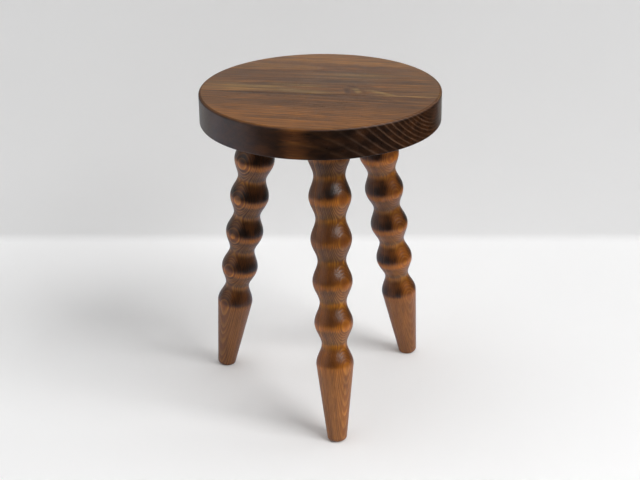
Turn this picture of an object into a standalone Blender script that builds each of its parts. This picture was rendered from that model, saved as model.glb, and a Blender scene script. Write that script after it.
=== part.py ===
"""Small round plant stand in stained pine on three bobbin-turned legs.

Two boards, dowelled and glued edge to edge, make the round top. Three turned legs stand splayed in
blind round mortises, and a fox wedge spreads the split tenon of each leg inside its mortise.

Metres, +Z up, floor at z = 0. The top is centred on the Z axis, its grain runs along X and the front
of the stand faces -Y.
"""

import math

import bmesh
import bpy
from mathutils import Matrix

# Top
OVERALL_HEIGHT = 0.413
TOP_DIAMETER = 0.300
TOP_THICKNESS = 0.038
UPPER_EDGE_RADIUS = 0.003
UNDER_EDGE_RADIUS = 0.0015
SEAM_OFFSET = 0.021

# Dowels in the seam of the top
DOWEL_DIAMETER = 0.010
DOWEL_LENGTH = 0.050
DOWEL_CHAMFER = 0.001
DOWEL_FLUTES = 12
FLUTE_DEPTH = 0.0004
DOWEL_INSET = 0.0385
GLUE_POCKET = 0.001

# Stance of the legs
FRONT_LEG_BEARING = math.radians(15)
LEG_SPLAY = math.radians(9.83)
LEG_CIRCLE_RADIUS = 0.0816

# Turning of a leg, along its axis
BEAD_COUNT = 6
TOP_BEAD_DIAMETER = 0.0536
BASE_BEAD_DIAMETER = 0.0465
TOP_NECK_DIAMETER = 0.0388
BASE_NECK_DIAMETER = 0.0314
BEAD_FULLNESS = 0.92
TOP_BEAD_DROP = 0.016
CONE_LENGTH = 0.0973
BASE_BEAD_RISE = 0.003
FOOT_DIAMETER = 0.0237
FOOT_ROUNDING = 0.006
LEVELLING_CUT = 0.0012

# Tenon, mortise and wedge
TENON_DIAMETER = 0.025
TENON_CHAMFER = 0.0015
MORTISE_ROOF = 0.008
KERF_LENGTH = 0.020
KERF_ROOT_WIDTH = 0.0016
KERF_MOUTH_WIDTH = 0.0034

# Fits
FIT_GAP = 0.0003
CUTTER_MARGIN = 0.010

# Facets
TOP_STEPS = 96
LEG_STEPS = 24
TENON_STEPS = 32
BEAD_POINTS = 9
ARC_POINTS = 5

# Finishes: colour, roughness
TOP_STAIN = ((0.145, 0.070, 0.036), 0.42)
LEG_STAIN = ((0.165, 0.066, 0.022), 0.38)
BARE_BEECH = ((0.560, 0.380, 0.230), 0.60)

# Worked out from the sizes above
TOP_RADIUS = TOP_DIAMETER / 2
UNDERSIDE = OVERALL_HEIGHT - TOP_THICKNESS
LEG_LENGTH = UNDERSIDE / math.cos(LEG_SPLAY)
BASE_BEAD_AT = CONE_LENGTH + BASE_BEAD_RISE
BEAD_PITCH = (LEG_LENGTH - TOP_BEAD_DROP - BASE_BEAD_AT) / (BEAD_COUNT - 1)
LEG_BEARINGS = {
    "front": FRONT_LEG_BEARING,
    "right": FRONT_LEG_BEARING + math.radians(120),
    "left": FRONT_LEG_BEARING + math.radians(240),
}
TENON_RADIUS = TENON_DIAMETER / 2
MORTISE_RADIUS = TENON_RADIUS + FIT_GAP
MORTISE_DEPTH = (
    TOP_THICKNESS - MORTISE_ROOF - MORTISE_RADIUS * math.sin(LEG_SPLAY)
) / math.cos(LEG_SPLAY)
TENON_LENGTH = MORTISE_DEPTH - FIT_GAP
SEAM_HALF_LENGTH = math.sqrt(TOP_RADIUS**2 - SEAM_OFFSET**2)
DOWEL_REACH = SEAM_HALF_LENGTH - DOWEL_INSET
DOWEL_PLACES = {"left": -DOWEL_REACH, "centre": 0.0, "right": DOWEL_REACH}
DOWEL_RADIUS = DOWEL_DIAMETER / 2


def clear_scene():
    for obj in list(bpy.data.objects):
        bpy.data.objects.remove(obj, do_unlink=True)


def add_object(name, mesh, parent):
    obj = bpy.data.objects.new(name, mesh)
    bpy.context.scene.collection.objects.link(obj)
    obj.parent = parent
    return obj


def add_empty(name, parent=None):
    return add_object(name, None, parent)


def as_cutter(obj):
    obj.hide_render = True
    obj.display_type = "WIRE"
    return obj


def finish(obj, stain):
    """Gives the object its own Principled material."""
    colour, roughness = stain
    material = bpy.data.materials.new(obj.name + "_finish")
    material.use_nodes = True
    shader = material.node_tree.nodes["Principled BSDF"]
    shader.inputs["Base Color"].default_value = (*colour, 1.0)
    shader.inputs["Roughness"].default_value = roughness
    shader.inputs["Metallic"].default_value = 0.0
    obj.data.materials.append(material)
    return obj


def turned(name, profile, steps, parent):
    """A solid of revolution about Z. The profile lists (radius, z) from the top to the bottom."""
    mesh = bpy.data.meshes.new(name)
    points = [(radius, 0.0, z) for radius, z in profile]
    edges = [(i, i + 1) for i in range(len(points) - 1)]
    mesh.from_pydata(points, edges, [])
    obj = add_object(name, mesh, parent)
    screw = obj.modifiers.new("turning", "SCREW")
    screw.axis = "Z"
    screw.angle = math.tau
    screw.steps = steps
    screw.render_steps = steps
    screw.use_smooth_shade = True
    screw.use_merge_vertices = True
    screw.merge_threshold = 0.00001
    return obj


def box(name, low, high, parent):
    """A block between two corners."""
    mesh = bpy.data.meshes.new(name)
    shape = bmesh.new()
    bmesh.ops.create_cube(shape, size=1.0)
    for vertex in shape.verts:
        for axis in range(3):
            vertex.co[axis] = high[axis] if vertex.co[axis] > 0 else low[axis]
    shape.to_mesh(mesh)
    shape.free()
    return add_object(name, mesh, parent)


def boolean(obj, other, operation="DIFFERENCE"):
    modifier = obj.modifiers.new(operation.lower() + "_" + other.name, "BOOLEAN")
    modifier.operation = operation
    modifier.solver = "EXACT"
    modifier.object = other


def quarter_arc(centre, radius, start, end):
    """Points of an arc in the (radius, z) plane, from one angle to another, both ends included."""
    angles = [start + (end - start) * i / ARC_POINTS for i in range(ARC_POINTS + 1)]
    return [(centre[0] + radius * math.cos(a), centre[1] + radius * math.sin(a)) for a in angles]


def top_profile():
    """Section of the round top: flat faces, a softened upper edge and a smaller softened lower edge."""
    upper = (TOP_RADIUS - UPPER_EDGE_RADIUS, OVERALL_HEIGHT - UPPER_EDGE_RADIUS)
    under = (TOP_RADIUS - UNDER_EDGE_RADIUS, UNDERSIDE + UNDER_EDGE_RADIUS)
    return [
        (0.0, OVERALL_HEIGHT),
        *quarter_arc(upper, UPPER_EDGE_RADIUS, math.pi / 2, 0.0),
        *quarter_arc(under, UNDER_EDGE_RADIUS, 0.0, -math.pi / 2),
        (0.0, UNDERSIDE),
    ]


def bobbin_radius(height):
    """Radius of the turned leg at a height along its axis, counted from the floor.

    Beads and necks follow a squared cosine between two straight lines, one through the beads and one
    through the necks, so every bead is a little larger than the one below it.
    """
    phase = (height - BASE_BEAD_AT) / BEAD_PITCH
    up_beads = phase / (BEAD_COUNT - 1)
    up_necks = (phase - 0.5) / (BEAD_COUNT - 2)
    bead = BASE_BEAD_DIAMETER + (TOP_BEAD_DIAMETER - BASE_BEAD_DIAMETER) * up_beads
    neck = BASE_NECK_DIAMETER + (TOP_NECK_DIAMETER - BASE_NECK_DIAMETER) * up_necks
    swell = (math.cos(math.pi * phase) ** 2) ** BEAD_FULLNESS
    return (neck + (bead - neck) * swell) / 2


def foot_profile():
    """The cone below the lowest bead and its rounded end, down to the axis."""
    wide = bobbin_radius(CONE_LENGTH)
    slope = (wide - FOOT_DIAMETER / 2) / CONE_LENGTH
    lean = math.atan(slope)
    centre_z = FOOT_ROUNDING - LEVELLING_CUT
    centre_r = FOOT_DIAMETER / 2 + slope * centre_z - FOOT_ROUNDING / math.cos(lean)
    end = quarter_arc((centre_r, centre_z), FOOT_ROUNDING, -lean, -math.pi / 2)
    return [(wide, CONE_LENGTH), *end, (0.0, -LEVELLING_CUT)]


def leg_profile():
    """Profile of a leg from above the underside of the top down to the foot, with z = 0 at the underside."""
    overrun = TOP_BEAD_DIAMETER / 2 * math.tan(LEG_SPLAY) + FIT_GAP
    crown = LEG_LENGTH + overrun
    count = round((crown - CONE_LENGTH) / BEAD_PITCH * BEAD_POINTS)
    heights = [crown + (CONE_LENGTH - crown) * i / count for i in range(count)]
    bobbins = [(bobbin_radius(h), h) for h in heights]
    whole = [(0.0, crown), *bobbins, *foot_profile()]
    return [(radius, height - LEG_LENGTH) for radius, height in whole]


def tenon_profile():
    """The round tenon, from its chamfered end down to a root that is buried in the top bead."""
    return [
        (0.0, TENON_LENGTH),
        (TENON_RADIUS - TENON_CHAMFER, TENON_LENGTH),
        (TENON_RADIUS, TENON_LENGTH - TENON_CHAMFER),
        (TENON_RADIUS, -TOP_BEAD_DROP),
        (0.0, -TOP_BEAD_DROP),
    ]


def mortise_profile():
    return [
        (0.0, MORTISE_DEPTH),
        (MORTISE_RADIUS, MORTISE_DEPTH),
        (MORTISE_RADIUS, -CUTTER_MARGIN),
        (0.0, -CUTTER_MARGIN),
    ]


def wedge_blank(name, clearance, parent):
    """A tapered blade on the leg's axis, thin at the root of the kerf and running out past the tenon's end."""
    root = TENON_LENGTH - KERF_LENGTH + clearance
    tip = TENON_LENGTH + CUTTER_MARGIN
    growth = (KERF_MOUTH_WIDTH - KERF_ROOT_WIDTH) / KERF_LENGTH
    blade = box(
        name,
        (-0.5, -TENON_RADIUS - CUTTER_MARGIN, root),
        (0.5, TENON_RADIUS + CUTTER_MARGIN, tip),
        parent,
    )
    for vertex in blade.data.vertices:
        above_root = vertex.co.z - (TENON_LENGTH - KERF_LENGTH)
        vertex.co.x *= KERF_ROOT_WIDTH + growth * above_root - 2 * clearance
    return blade


def fluted_dowel(name, parent):
    """A dowel pin along Z, centred on its origin, with straight flutes and chamfered ends."""
    half = DOWEL_LENGTH / 2
    sections = [
        (DOWEL_RADIUS - DOWEL_CHAMFER, -half),
        (DOWEL_RADIUS, -half + DOWEL_CHAMFER),
        (DOWEL_RADIUS, half - DOWEL_CHAMFER),
        (DOWEL_RADIUS - DOWEL_CHAMFER, half),
    ]
    shape = bmesh.new()
    rings = []
    for radius, z in sections:
        ring = []
        for i in range(2 * DOWEL_FLUTES):
            reach = radius - FLUTE_DEPTH * (i % 2)
            turn = Matrix.Rotation(math.pi * i / DOWEL_FLUTES, 4, "Z")
            vertex = shape.verts.new((reach, 0.0, z))
            vertex.co = turn @ vertex.co
            ring.append(vertex)
        rings.append(ring)
    for lower, upper in zip(rings, rings[1:]):
        for i in range(len(lower)):
            j = (i + 1) % len(lower)
            shape.faces.new((lower[i], lower[j], upper[j], upper[i]))
    shape.faces.new(reversed(rings[0]))
    shape.faces.new(rings[-1])
    mesh = bpy.data.meshes.new(name)
    shape.to_mesh(mesh)
    shape.free()
    return add_object(name, mesh, parent)


def make_boards(stand):
    """The two boards of the top, each half of the seam gap back from the glue line."""
    boards = {}
    reach = TOP_RADIUS + CUTTER_MARGIN
    low_z = UNDERSIDE - CUTTER_MARGIN
    high_z = OVERALL_HEIGHT + CUTTER_MARGIN
    behind = (-SEAM_OFFSET - FIT_GAP / 2, reach)
    before = (-reach, -SEAM_OFFSET + FIT_GAP / 2)
    for side, (low_y, high_y) in {"front": behind, "rear": before}.items():
        board = turned("seat_" + side + "_board", top_profile(), TOP_STEPS, stand)
        waste = as_cutter(
            box("waste_of_" + side, (-reach, low_y, low_z), (reach, high_y, high_z), stand)
        )
        boolean(board, waste)
        boards[side] = finish(board, TOP_STAIN)
    return boards


def make_dowels(stand, boards):
    """Dowels across the seam at half the thickness, with a glue pocket at the end of each hole."""
    hole_radius = DOWEL_RADIUS + FIT_GAP
    hole_half = DOWEL_LENGTH / 2 + GLUE_POCKET
    hole = [(0.0, hole_half), (hole_radius, hole_half), (hole_radius, -hole_half), (0.0, -hole_half)]
    for side, x in DOWEL_PLACES.items():
        station = add_empty("dowel_station_" + side, stand)
        station.location = (x, -SEAM_OFFSET, UNDERSIDE + TOP_THICKNESS / 2)
        station.rotation_euler = (math.pi / 2, 0.0, 0.0)
        drill = as_cutter(turned("dowel_hole_" + side, hole, 2 * DOWEL_FLUTES, station))
        for board in boards.values():
            boolean(board, drill)
        finish(fluted_dowel("edge_dowel_" + side, station), BARE_BEECH)


def make_leg(name, bearing, stand, boards, above_underside, below_floor):
    """One leg on its own station: an empty where its axis meets the underside, with Z along that axis."""
    station = add_empty("leg_station_" + name, stand)
    station.location = (
        LEG_CIRCLE_RADIUS * math.sin(bearing),
        -LEG_CIRCLE_RADIUS * math.cos(bearing),
        UNDERSIDE,
    )
    station.rotation_euler = (-LEG_SPLAY, 0.0, bearing)

    tenon = as_cutter(turned("tenon_" + name, tenon_profile(), TENON_STEPS, station))
    kerf = as_cutter(wedge_blank("kerf_" + name, 0.0, station))
    kerf.rotation_euler = (0.0, 0.0, -bearing)
    leg = turned("leg_" + name, leg_profile(), LEG_STEPS, station)
    boolean(leg, above_underside)
    boolean(leg, below_floor)
    boolean(leg, tenon, "UNION")
    boolean(leg, kerf)
    finish(leg, LEG_STAIN)

    wedge = wedge_blank("wedge_" + name, FIT_GAP, station)
    wedge.rotation_euler = kerf.rotation_euler
    boolean(wedge, tenon, "INTERSECT")
    finish(wedge, BARE_BEECH)

    mortise = as_cutter(turned("mortise_" + name, mortise_profile(), TENON_STEPS, station))
    boolean(boards["front" if name == "front" else "rear"], mortise)


def make_legs(stand, boards):
    """Three legs, scribed level under the top and sanded level on the floor."""
    reach = LEG_CIRCLE_RADIUS + LEG_LENGTH
    shoulder = UNDERSIDE - FIT_GAP
    above_underside = as_cutter(
        box("above_underside", (-reach, -reach, shoulder), (reach, reach, shoulder + reach), stand)
    )
    below_floor = as_cutter(box("below_floor", (-reach, -reach, -reach), (reach, reach, 0.0), stand))
    for name, bearing in LEG_BEARINGS.items():
        make_leg(name, bearing, stand, boards, above_underside, below_floor)


def main():
    clear_scene()
    stand = add_empty("plant_stand")
    boards = make_boards(stand)
    make_dowels(stand, boards)
    make_legs(stand, boards)


main()
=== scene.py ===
"""Looks of the round plant stand on bobbin legs: fine surfaces, stained pine, studio floor, camera."""

import math

import bpy
import numpy as np
from mathutils import Euler, Matrix, Vector


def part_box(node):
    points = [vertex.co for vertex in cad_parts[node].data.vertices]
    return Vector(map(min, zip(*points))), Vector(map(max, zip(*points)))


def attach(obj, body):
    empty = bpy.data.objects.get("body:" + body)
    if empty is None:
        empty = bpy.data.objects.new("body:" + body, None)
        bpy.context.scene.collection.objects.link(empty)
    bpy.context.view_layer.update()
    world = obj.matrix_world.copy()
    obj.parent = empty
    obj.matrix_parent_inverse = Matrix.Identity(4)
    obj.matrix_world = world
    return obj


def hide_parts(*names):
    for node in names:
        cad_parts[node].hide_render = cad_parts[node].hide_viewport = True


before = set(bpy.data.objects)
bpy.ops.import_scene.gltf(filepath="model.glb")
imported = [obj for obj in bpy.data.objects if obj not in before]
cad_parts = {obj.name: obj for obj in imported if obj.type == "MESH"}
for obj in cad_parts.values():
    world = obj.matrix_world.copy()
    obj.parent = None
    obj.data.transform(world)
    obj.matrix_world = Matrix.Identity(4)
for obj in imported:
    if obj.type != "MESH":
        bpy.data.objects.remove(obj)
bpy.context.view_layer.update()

# Sizes read from the frame, in metres
rear_low, rear_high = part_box("seat_rear_board")
_, front_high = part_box("seat_front_board")
TOP_RADIUS = rear_high.x
TOP_Z = rear_high.z
UNDERSIDE = rear_low.z
SEAM_Y = (rear_low.y + front_high.y) / 2

# Edges of the top
UPPER_EDGE = 0.003
UNDER_EDGE = 0.0015
SEAM_EASE = 0.00015
SEAM_GAP = 0.0001

# Legs: the same turning as the solids
LEG_BEARINGS = {"front": math.radians(15), "right": math.radians(135), "left": math.radians(255)}
LEG_SPLAY = math.radians(9.83)
LEG_CIRCLE_RADIUS = 0.0816
LEG_LENGTH = UNDERSIDE / math.cos(LEG_SPLAY)
BEAD_COUNT = 6
BASE_BEAD, TOP_BEAD = 0.0465 / 2, 0.0536 / 2
BASE_NECK, TOP_NECK = 0.0314 / 2, 0.0388 / 2
BEAD_FULLNESS = 0.92
TOP_BEAD_DROP = 0.016
CONE_LENGTH = 0.0973
BASE_BEAD_RISE = 0.003
BASE_BEAD_AT = CONE_LENGTH + BASE_BEAD_RISE
BEAD_PITCH = (LEG_LENGTH - TOP_BEAD_DROP - BASE_BEAD_AT) / (BEAD_COUNT - 1)
FOOT_TRIM = 0.00001
FOOT_RADIUS = 0.0237 / 2 - FOOT_TRIM
FOOT_ROUNDING = 0.006
LEVELLING_CUT = 0.0012
FLOOR_CLEARANCE = 0.000002

# Hidden joints: the same fits as the solids
FIT_GAP = 0.0003
TENON_RADIUS = 0.0125
TENON_CHAMFER = 0.0015
MORTISE_ROOF = 0.008
MORTISE_RADIUS = TENON_RADIUS + FIT_GAP
MORTISE_DEPTH = (
    TOP_Z - UNDERSIDE - MORTISE_ROOF - MORTISE_RADIUS * math.sin(LEG_SPLAY)
) / math.cos(LEG_SPLAY)
TENON_LENGTH = MORTISE_DEPTH - FIT_GAP
KERF_LENGTH = 0.020
KERF_ROOT, KERF_MOUTH = 0.0016, 0.0034
DOWEL_HOLE_RADIUS = 0.0053
DOWEL_HOLE_HALF = 0.026
CUTTER_MARGIN = 0.010
MORTISE_SIDES, DOWEL_HOLE_SIDES = 64, 40

# The photograph's camera, found by fitting the stand's outline: where it stands and how it is turned
IMAGE_WIDTH, IMAGE_HEIGHT = 640, 480
CAMERA_BEARING = math.radians(8.72)
CAMERA_DISTANCE = 1.713
CAMERA_HEIGHT = 0.970
CAMERA_PITCH = math.radians(23.965)
CAMERA_YAW = math.radians(-0.087)
CAMERA_ROLL = math.radians(0.759)
FOCAL_PIXELS = 1452.9
SENSOR_WIDTH = 36.0
WALL_LINE_ROW = 239.5


def mesh_object(name, points, faces):
    """A mesh from points of shape (n, 3) and arrays of face indices, each of shape (count, corners)."""
    mesh = bpy.data.meshes.new(name)
    sizes = np.concatenate([np.full(len(f), f.shape[1]) for f in faces])
    corners = np.concatenate([f.ravel() for f in faces]).astype(np.int32)
    mesh.vertices.add(len(points))
    mesh.vertices.foreach_set("co", points.astype(np.float32).ravel())
    mesh.loops.add(len(corners))
    mesh.loops.foreach_set("vertex_index", corners)
    mesh.polygons.add(len(sizes))
    mesh.polygons.foreach_set("loop_start", (np.cumsum(sizes) - sizes).astype(np.int32))
    mesh.update(calc_edges=True)
    mesh.validate()
    obj = bpy.data.objects.new(name, mesh)
    bpy.context.scene.collection.objects.link(obj)
    return obj


def wrapped_surface(name, rings):
    """A closed skin over a stack of closed rings, an array of shape (rings, around, 3).

    Neighbouring points of neighbouring rings make the four-sided faces, the last point of a ring joins
    the first, and the first and last ring each close to a pole at their mean point. Rings go upwards and
    run anticlockwise seen from above, which points the faces outwards.
    """
    count, around, _ = rings.shape
    index = np.arange(count * around).reshape(count, around)
    ahead = np.roll(index, -1, axis=1)
    quads = np.stack([index[:-1], ahead[:-1], ahead[1:], index[1:]], axis=-1).reshape(-1, 4)
    low_pole, high_pole = count * around, count * around + 1
    low = np.stack([ahead[0], index[0], np.full(around, low_pole)], axis=-1)
    high = np.stack([index[-1], ahead[-1], np.full(around, high_pole)], axis=-1)
    poles = np.stack([rings[0].mean(0), rings[-1].mean(0)])
    points = np.concatenate([rings.reshape(-1, 3), poles])
    return mesh_object(name, points, [quads, low, high])


def shade(obj, sharp_degrees=35.0):
    """Smooth shading, with the edges past an angle kept sharp."""
    obj.data.shade_smooth()
    obj.data.set_sharp_from_angle(angle=math.radians(sharp_degrees))
    return obj


def carve(obj, cutters):
    """Cuts the cutters out of the piece, keeps the result as its mesh and removes the cutters."""
    for cutter in cutters:
        modifier = obj.modifiers.new("cut", "BOOLEAN")
        modifier.operation = "DIFFERENCE"
        modifier.solver = "EXACT"
        modifier.object = cutter
    graph = bpy.context.evaluated_depsgraph_get()
    carved = bpy.data.meshes.new_from_object(obj.evaluated_get(graph))
    obj.modifiers.clear()
    obj.data = carved
    for cutter in cutters:
        bpy.data.objects.remove(cutter)
    return obj


def leg_matrix(bearing):
    """From a leg's own space, Z up its axis and zero at the underside, to the stand's space."""
    place = Vector((math.sin(bearing), -math.cos(bearing), 0.0)) * LEG_CIRCLE_RADIUS
    place.z = UNDERSIDE
    return Matrix.Translation(place) @ Euler((-LEG_SPLAY, 0.0, bearing)).to_matrix().to_4x4()


def moved(points, matrix):
    """The points of any array of shape (..., 3), carried by a 4 by 4 matrix."""
    m = np.array(matrix)
    return points @ m[:3, :3].T + m[:3, 3]


def rod(name, radius, low, high, around, matrix):
    """A plain round cutter along Z: two rings of one radius, at the low and the high end."""
    turn = np.linspace(0.0, math.tau, around, endpoint=False)
    ring = np.stack([radius * np.cos(turn), radius * np.sin(turn), np.zeros(around)], axis=-1)
    rings = np.stack([ring + [0.0, 0.0, low], ring + [0.0, 0.0, high]])
    return wrapped_surface(name, moved(rings, matrix))


def kerf_blade(name, matrix):
    """The saw kerf: a blade of four corners a ring, thin at the kerf's root and wider towards the end."""
    heights = np.array([TENON_LENGTH - KERF_LENGTH, TENON_LENGTH + CUTTER_MARGIN])
    growth = (KERF_MOUTH - KERF_ROOT) / KERF_LENGTH
    half = (KERF_ROOT + growth * (heights - heights[0])) / 2
    reach = TENON_RADIUS + CUTTER_MARGIN
    corners = np.array([(1, 1), (-1, 1), (-1, -1), (1, -1)], float)
    x = half[:, None] * corners[None, :, 0]
    y = np.broadcast_to(reach * corners[:, 1], x.shape)
    z = np.broadcast_to(heights[:, None], x.shape)
    return wrapped_surface(name, moved(np.stack([x, y, z], axis=-1), matrix))


def bobbin_radius(height):
    """Radius of the turning at a height above the floor along the axis: a squared cosine that swings
    between a straight line through the necks and a straight line through the beads."""
    phase = (height - BASE_BEAD_AT) / BEAD_PITCH
    bead = BASE_BEAD + (TOP_BEAD - BASE_BEAD) * phase / (BEAD_COUNT - 1)
    neck = BASE_NECK + (TOP_NECK - BASE_NECK) * (phase - 0.5) / (BEAD_COUNT - 2)
    swell = (np.cos(np.pi * phase) ** 2) ** BEAD_FULLNESS
    return neck + (bead - neck) * swell


def leg_rings(around=112, on_arc=16, on_cone=40, on_bobbins=300):
    """Rings of a leg from the foot to the end of its tenon, from a radius and a height over (ring, angle).

    The foot's flat lies in the floor's plane, height = -radius cos(angle) tan(splay). Above it come the
    rounded end as an arc, the cone as a straight line, the bobbins, the shoulder in the plane of the
    underside, and the tenon with its chamfer. The ring where the arc meets the floor is found by halving,
    and the ring where the bobbins meet the shoulder by working its height out again and again.
    """
    halvings, repeats = 40, 12
    across_flat = np.array([0.35, 0.7, 0.92, 0.98])[:, None]
    inward = np.array([0.03, 0.5, 1.0])[:, None]
    up_tenon = np.array([0.1, 0.5, 1.0])[:, None]
    turn = np.linspace(0.0, math.tau, around, endpoint=False)
    tilt = np.cos(turn) * math.tan(LEG_SPLAY)

    wide = float(bobbin_radius(CONE_LENGTH))
    slope = (wide - FOOT_RADIUS) / CONE_LENGTH
    lean = math.atan(slope)
    centre_h = FOOT_ROUNDING - LEVELLING_CUT
    centre_r = FOOT_RADIUS + slope * centre_h - FOOT_ROUNDING / math.cos(lean)
    above, below = np.full(around, -lean), np.full(around, -math.pi / 2)
    for _ in range(halvings):
        middle = (above + below) / 2
        level = centre_h + FOOT_ROUNDING * np.sin(middle)
        level = level + (centre_r + FOOT_ROUNDING * np.cos(middle)) * tilt
        above, below = np.where(level > 0, middle, above), np.where(level > 0, below, middle)
    arc = below + (-lean - below) * np.linspace(0.0, 1.0, on_arc)[:, None]
    arc_r = centre_r + FOOT_ROUNDING * np.cos(arc)
    arc_h = centre_h + FOOT_ROUNDING * np.sin(arc)

    flat_r = arc_r[0] * across_flat
    cone_h = np.linspace(arc_h[-1], np.full(around, CONE_LENGTH), on_cone)[1:]
    cone_r = FOOT_RADIUS + slope * cone_h

    under = LEG_LENGTH - FIT_GAP / math.cos(LEG_SPLAY)
    crown = np.full(around, under)
    for _ in range(repeats):
        crown = under - bobbin_radius(crown) * tilt
    bobbin_h = np.linspace(np.full(around, CONE_LENGTH), crown, on_bobbins)[1:]
    bobbin_r = bobbin_radius(bobbin_h)

    shoulder_r = bobbin_r[-1] + (TENON_RADIUS - bobbin_r[-1]) * inward
    shoulder_h = under - shoulder_r * tilt
    tenon_top = LEG_LENGTH + TENON_LENGTH
    tenon_h = shoulder_h[-1] + (tenon_top - TENON_CHAMFER - shoulder_h[-1]) * up_tenon
    tenon_r = np.full_like(tenon_h, TENON_RADIUS)
    end_r = np.broadcast_to(np.array([[TENON_RADIUS - TENON_CHAMFER], [TENON_RADIUS / 2]]), (2, around))
    end_h = np.full((2, around), tenon_top)

    radius = np.concatenate([flat_r, arc_r, cone_r, bobbin_r, shoulder_r, tenon_r, end_r])
    height = np.concatenate([-flat_r * tilt, arc_h, cone_h, bobbin_h, shoulder_h, tenon_h, end_h])
    x = radius * np.sin(turn)
    y = -radius * np.cos(turn)
    return np.stack([x, y, height - LEG_LENGTH + FLOOR_CLEARANCE], axis=-1)


def make_leg(name, bearing):
    """A turned leg with its split tenon, in place."""
    matrix = leg_matrix(bearing)
    leg = wrapped_surface("turned_leg_" + name, moved(leg_rings(), matrix))
    across_grain = Matrix.Rotation(-bearing, 4, "Z")
    carve(leg, [kerf_blade("kerf_" + name, matrix @ across_grain)])
    return shade(leg)


def board_outline(side, rim_inset, seam_inset, on_arc=420, on_seam=160):
    """Outline of one board, anticlockwise from above: an arc of the rim, then the straight seam.

    The rim is set in by one amount and the seam by another. The arc ends where its circle meets the
    seam's line, at the angle whose sine is the line's distance over the circle's radius.
    """
    radius = TOP_RADIUS - rim_inset
    behind = 1.0 if side == "rear" else -1.0
    line = SEAM_Y + behind * (SEAM_GAP / 2 + seam_inset)
    start = math.asin(line / radius)
    if side == "rear":
        arc = np.linspace(start, math.pi - start, on_arc)
    else:
        arc = np.linspace(math.pi - start, math.tau + start, on_arc)
    rim = np.stack([radius * np.cos(arc), radius * np.sin(arc)], axis=-1)
    share = np.linspace(0.0, 1.0, on_seam + 2)[1:-1, None]
    return np.concatenate([rim, rim[-1] + (rim[0] - rim[-1]) * share])


def board_rings(side):
    """Rings of one board from the middle of its underside, up its edges, to the middle of its top.

    The faces are outlines drawn in towards a hub. The edges carry a quarter arc along the outline: the
    rim's arcs have the softened radius and the seam's share its height with a smaller inset.
    """
    hub = np.array([0.0, (SEAM_Y + (TOP_RADIUS if side == "rear" else -TOP_RADIUS)) / 2])
    on_quarter = 9
    drawn_in = np.array([0.05, 0.3, 0.6, 0.85, 0.97, 0.995])
    up_edge = (0.02, 0.25, 0.5, 0.75, 0.98)
    quarter = np.linspace(0.0, math.pi / 2, on_quarter)
    low, high = UNDERSIDE + UNDER_EDGE, TOP_Z - UPPER_EDGE

    def ring(rim_inset, seam_inset, z, share=1.0):
        flat = hub + (board_outline(side, rim_inset, seam_inset) - hub) * share
        return np.column_stack([flat, np.full(len(flat), z)])

    rings = [ring(UNDER_EDGE, SEAM_EASE, UNDERSIDE, k) for k in drawn_in]
    for a in quarter:
        inset = 1.0 - math.sin(a)
        rise = UNDER_EDGE * (1 - math.cos(a))
        rings.append(ring(UNDER_EDGE * inset, SEAM_EASE * inset, UNDERSIDE + rise))
    rings += [ring(0.0, 0.0, low + (high - low) * k) for k in up_edge]
    for a in quarter:
        inset = 1.0 - math.cos(a)
        rings.append(ring(UPPER_EDGE * inset, SEAM_EASE * inset, high + UPPER_EDGE * math.sin(a)))
    rings += [ring(UPPER_EDGE, SEAM_EASE, TOP_Z, k) for k in drawn_in[::-1]]
    return np.stack(rings)


def make_board(side):
    """One board of the top with its mortises and dowel holes."""
    board = wrapped_surface("top_board_" + side, board_rings(side))
    cutters = []
    for name, bearing in LEG_BEARINGS.items():
        if (name == "front") == (side == "front"):
            cutters.append(rod(
                "mortise_" + name, MORTISE_RADIUS, -CUTTER_MARGIN, MORTISE_DEPTH, MORTISE_SIDES,
                leg_matrix(bearing)))
    for name in ("left", "centre", "right"):
        low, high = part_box("edge_dowel_" + name)
        middle = (low + high) / 2
        middle.y = SEAM_Y
        matrix = Matrix.Translation(middle) @ Matrix.Rotation(math.pi / 2, 4, "X")
        cutters.append(rod(
            "hole_" + name, DOWEL_HOLE_RADIUS, -DOWEL_HOLE_HALF, DOWEL_HOLE_HALF, DOWEL_HOLE_SIDES, matrix))
    carve(board, cutters)
    return shade(board)


# Stained wood, its colours as linear light. A tint multiplies a colour.
GRAIN_ALONG_X = Matrix(((0, 0, 1), (1, 0, 0), (0, 1, 0)))
PLAIN = (1.0, 1.0, 1.0, 1.0)
TOP_EARLY, TOP_LATE = (0.124, 0.043, 0.0040), (0.192, 0.076, 0.0090)
RIM_TINT = (0.82, 0.68, 0.55, 1.0)
WARM_FRONT = (1.58, 1.52, 1.10, 1.0)
# Painted sheen: the pale bluish haze of the wall's reflection on the back of the top, laid into its colour
REAR_PAINTED_SHEEN = (1.36, 1.46, 1.70, 1.0)
GREY_BAND = (0.120, 0.062, 0.022, 1.0)
SAPWOOD = (0.270, 0.148, 0.034, 1.0)
KNOTWOOD = (0.050, 0.018, 0.004, 1.0)
END_RINGS = (0.150, 0.080, 0.046, 1.0)
LEG_EARLY, LEG_LATE = (0.335, 0.091, 0.0040), (0.510, 0.176, 0.0080)
CONE_TINT = (0.79, 0.96, 3.80)
NECK_TINT = (0.66, 0.74, 0.95)
# Painted reflection: the lower sides of the beads greyed as if they mirrored the pale floor
UNDER_PAINTED_SHEEN = (0.89, 1.04, 3.70, 1.0)
BARE_BEECH, BEECH_FLECK = (0.62, 0.42, 0.26, 1.0), (0.42, 0.25, 0.14, 1.0)

# How the fibres are cut open, how much the grain shows, the varnish's gloss and the height of its texture
TOP_CUT = {"Full At": 0.17, "Raggedness": 0.25}
LEG_CUT = {"Starts At": -0.06, "Full At": 0.30, "Raggedness": 0.24}
TOP_CONTRAST = 1.6
TOP_GLOSS, LEG_GLOSS = 0.60, 0.55
TOP_TEXTURE, LEG_TEXTURE = 0.25, 0.70
TEXTURE_HEIGHT = 0.0003
BEAD_CREEP = 0.20

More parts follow.
